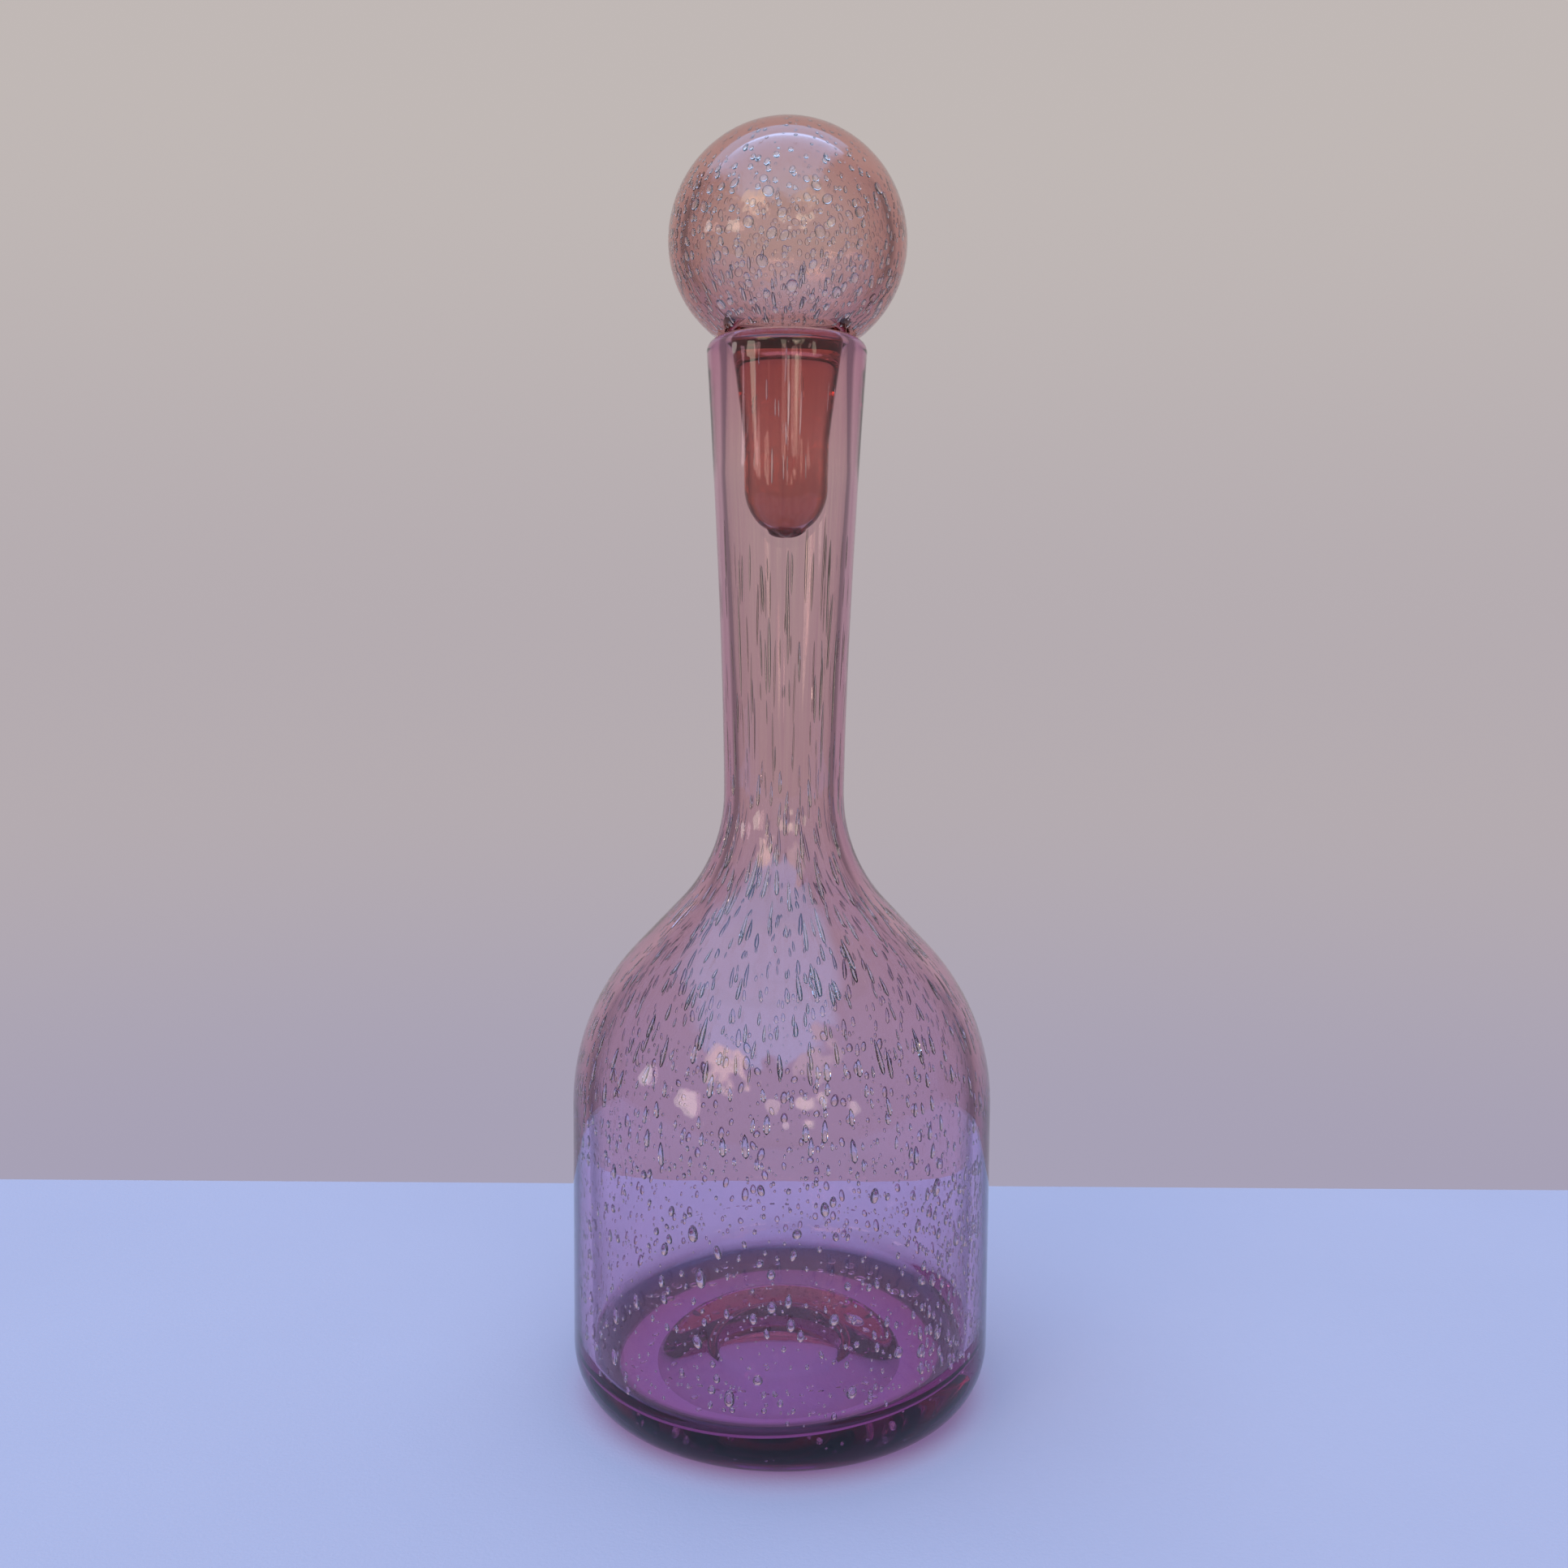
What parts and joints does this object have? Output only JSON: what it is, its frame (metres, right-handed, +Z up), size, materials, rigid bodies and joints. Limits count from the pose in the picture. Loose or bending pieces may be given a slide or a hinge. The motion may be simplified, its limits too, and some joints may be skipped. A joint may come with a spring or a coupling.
{
  "type": "glass decanter with stopper",
  "caption": "Hand-blown bubble-glass bottle with a round shoulder, long neck and heavy base, closed by a lift-out hollow ball stopper.",
  "frame": {"origin": "centre of the foot, on the surface that the bottle stands on", "axes": "+Z up along the axis of the bottle and its stopper"},
  "size_m": [0.1312, 0.1312, 0.3901],
  "materials": {
    "bottle_glass": "clear amethyst glass full of trapped air bubbles, fire-polished, glossy",
    "stopper_glass": "clear reddish-violet glass full of trapped air bubbles, fire-polished, glossy"
  },
  "bodies": {
    "bottle": {"bottle": "bottle_glass"},
    "stopper": {"stopper": "stopper_glass"}
  },
  "joints": [
    {"name": "stopper_lift", "type": "slide", "parent": "bottle", "child": "stopper", "axis": [0, 0, 1], "range_m": [0, 0.075]}
  ]
}
